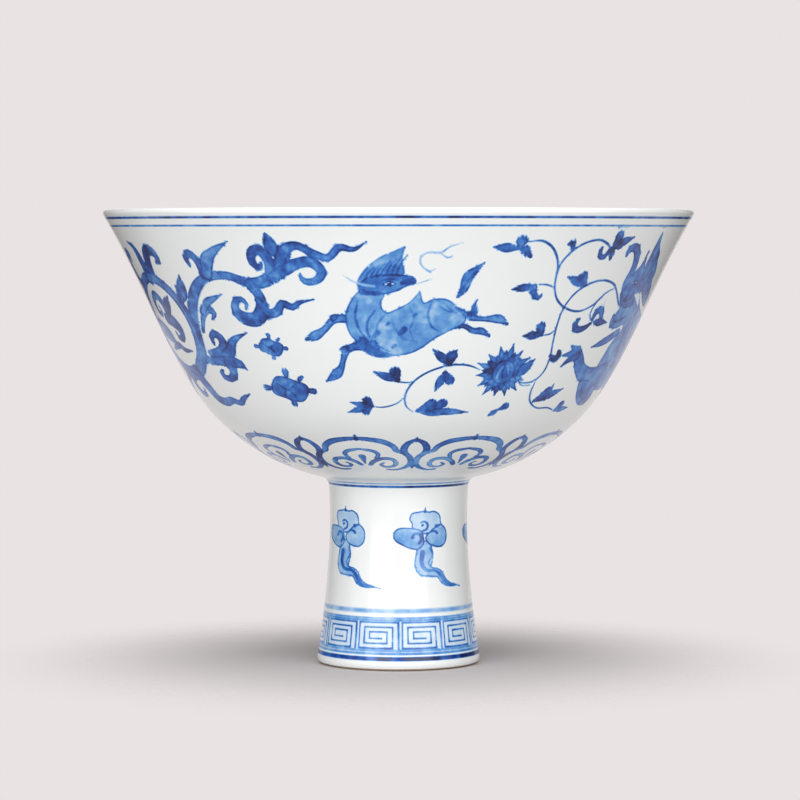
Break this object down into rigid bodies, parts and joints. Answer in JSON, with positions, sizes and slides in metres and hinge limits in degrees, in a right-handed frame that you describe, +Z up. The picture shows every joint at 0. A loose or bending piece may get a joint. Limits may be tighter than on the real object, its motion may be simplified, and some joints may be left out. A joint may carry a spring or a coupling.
{
  "type": "stem bowl",
  "caption": "Deep round porcelain bowl with a slightly everted lip on a tall hollow stem foot, glazed in three coats, with the foot rim left bare.",
  "frame": {"origin": "centre of the foot rim, on the surface that the bowl stands on", "axes": "+Z up along the axis of bowl and stem; +X to the right and +Y away from a viewer who sees the leaping beast in front"},
  "size_m": [0.155, 0.155, 0.1194],
  "materials": {
    "biscuit_porcelain": "fine unglazed white porcelain, bare only at the foot rim",
    "luting_slip": "fired slip of the same porcelain",
    "painted_glaze": "glossy, faintly bluish transparent glaze over cobalt-blue painting",
    "clear_glaze": "glossy, faintly bluish transparent glaze on white porcelain"
  },
  "bodies": {
    "root": {"bowl_body": "biscuit_porcelain", "stem_body": "biscuit_porcelain", "luting_slip": "luting_slip", "outside_glaze": "painted_glaze", "inside_glaze": "clear_glaze", "stem_hollow_glaze": "clear_glaze"}
  },
  "joints": []
}
